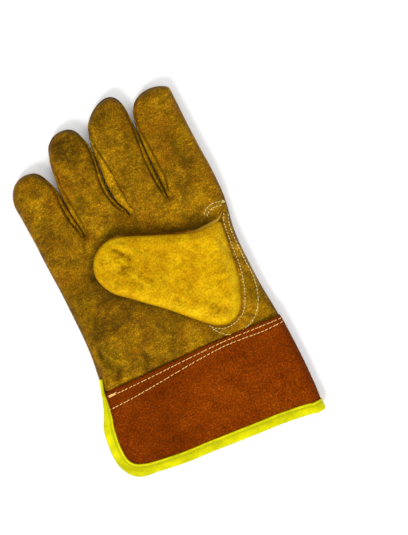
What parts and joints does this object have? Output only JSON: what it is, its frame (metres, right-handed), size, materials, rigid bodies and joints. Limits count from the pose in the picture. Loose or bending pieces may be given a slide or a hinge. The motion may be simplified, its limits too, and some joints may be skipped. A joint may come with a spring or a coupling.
{
  "type": "leather work glove",
  "caption": "Right-hand leather work glove, palm up, with jointed finger and thumb sections, a yellow suede thumb and a russet safety cuff bound in lime tape.",
  "frame": {"origin": "centre of the glove's footprint, on the surface its back lies on", "axes": "+Z out of the palm, +Y from the cuff to the fingertips, +X towards the thumb side"},
  "size_m": [0.1534, 0.2686, 0.028],
  "materials": {
    "leather_gold": "golden-brown grain leather, soft sheen, darker and burnished towards the fingertips",
    "suede_yellow": "bright yellow brushed suede",
    "suede_russet": "russet split leather with a short nap",
    "leather_raw_edge": "raw yellow-green cut edge of the seam",
    "binding_tape": "fluorescent yellow ribbed folded tape",
    "thread_cream": "twisted cream sewing thread",
    "thread_cuff": "twisted off-white sewing thread with a pink cast",
    "thread_lime": "yellow-green sewing thread"
  },
  "bodies": {
    "palm": {"palm_panel": "leather_gold", "back_panel_index": "leather_gold", "back_panel_middle": "leather_gold", "back_panel_ring_little": "leather_gold", "back_seam_welt_index": "leather_raw_edge", "back_seam_welt_ring": "leather_raw_edge", "back_seam_thread": "thread_cream", "crotch_fourchette_index_middle": "leather_gold", "crotch_fourchette_middle_ring": "leather_gold", "crotch_fourchette_ring_little": "leather_gold", "thumb_base_panel": "suede_yellow", "thumb_base_patch": "leather_gold", "thumb_seam_thread": "thread_cream", "crotch_thread": "thread_cream"},
    "index_proximal": {"index_front_proximal": "leather_gold", "index_back_proximal": "leather_gold", "index_fourchette_proximal": "leather_gold"},
    "index_distal": {"index_front_distal": "leather_gold", "index_back_distal": "leather_gold", "index_fourchette_distal": "leather_gold"},
    "middle_proximal": {"middle_front_proximal": "leather_gold", "middle_back_proximal": "leather_gold", "middle_fourchette_proximal": "leather_gold"},
    "middle_distal": {"middle_front_distal": "leather_gold", "middle_back_distal": "leather_gold", "middle_fourchette_distal": "leather_gold"},
    "ring_proximal": {"ring_front_proximal": "leather_gold", "ring_back_proximal": "leather_gold", "ring_fourchette_proximal": "leather_gold"},
    "ring_distal": {"ring_front_distal": "leather_gold", "ring_back_distal": "leather_gold", "ring_fourchette_distal": "leather_gold"},
    "little_proximal": {"little_front_proximal": "leather_gold", "little_back_proximal": "leather_gold", "little_fourchette_proximal": "leather_gold"},
    "little_distal": {"little_front_distal": "leather_gold", "little_back_distal": "leather_gold", "little_fourchette_distal": "leather_gold"},
    "thumb": {"thumb_outer_panel": "suede_yellow", "thumb_inner_panel": "leather_gold", "thumb_side_strip": "leather_gold", "thumb_rolled_seam": "leather_gold"},
    "cuff": {"cuff_panel": "suede_russet", "cuff_binding": "binding_tape", "cuff_seam_thread": "thread_cuff", "binding_thread": "thread_lime"}
  },
  "joints": [
    {"name": "index_knuckle", "type": "hinge", "parent": "palm", "child": "index_proximal", "pos_m": [0.0577, 0.05785, 0.016], "axis": [1, 0, 0], "range_deg": [0, 80]},
    {"name": "index_middle_joint", "type": "hinge", "parent": "index_proximal", "child": "index_distal", "pos_m": [0.0577, 0.0925, 0.016], "axis": [1, 0, 0], "range_deg": [0, 85]},
    {"name": "middle_knuckle", "type": "hinge", "parent": "palm", "child": "middle_proximal", "pos_m": [0.0215, 0.05785, 0.016], "axis": [1, 0, 0], "range_deg": [0, 80]},
    {"name": "middle_middle_joint", "type": "hinge", "parent": "middle_proximal", "child": "middle_distal", "pos_m": [0.0215, 0.0961, 0.016], "axis": [1, 0, 0], "range_deg": [0, 85]},
    {"name": "ring_knuckle", "type": "hinge", "parent": "palm", "child": "ring_proximal", "pos_m": [-0.0135, 0.05785, 0.016], "axis": [1, 0, 0], "range_deg": [0, 80]},
    {"name": "ring_middle_joint", "type": "hinge", "parent": "ring_proximal", "child": "ring_distal", "pos_m": [-0.0135, 0.0918, 0.016], "axis": [1, 0, 0], "range_deg": [0, 85]},
    {"name": "little_knuckle", "type": "hinge", "parent": "palm", "child": "little_proximal", "pos_m": [-0.0465, 0.05785, 0.016], "axis": [1, 0, 0], "range_deg": [0, 80]},
    {"name": "little_middle_joint", "type": "hinge", "parent": "little_proximal", "child": "little_distal", "pos_m": [-0.0465, 0.0832, 0.016], "axis": [1, 0, 0], "range_deg": [0, 85]},
    {"name": "thumb_base_joint", "type": "hinge", "parent": "palm", "child": "thumb", "pos_m": [0.0576, -0.01008, 0.0164], "axis": [0.3757, 0.9267, 0], "range_deg": [0, 90]},
    {"name": "wrist", "type": "hinge", "parent": "palm", "child": "cuff", "pos_m": [0.002, -0.056, 0.0153], "axis": [-1, 0, 0], "range_deg": [0, 50]}
  ]
}
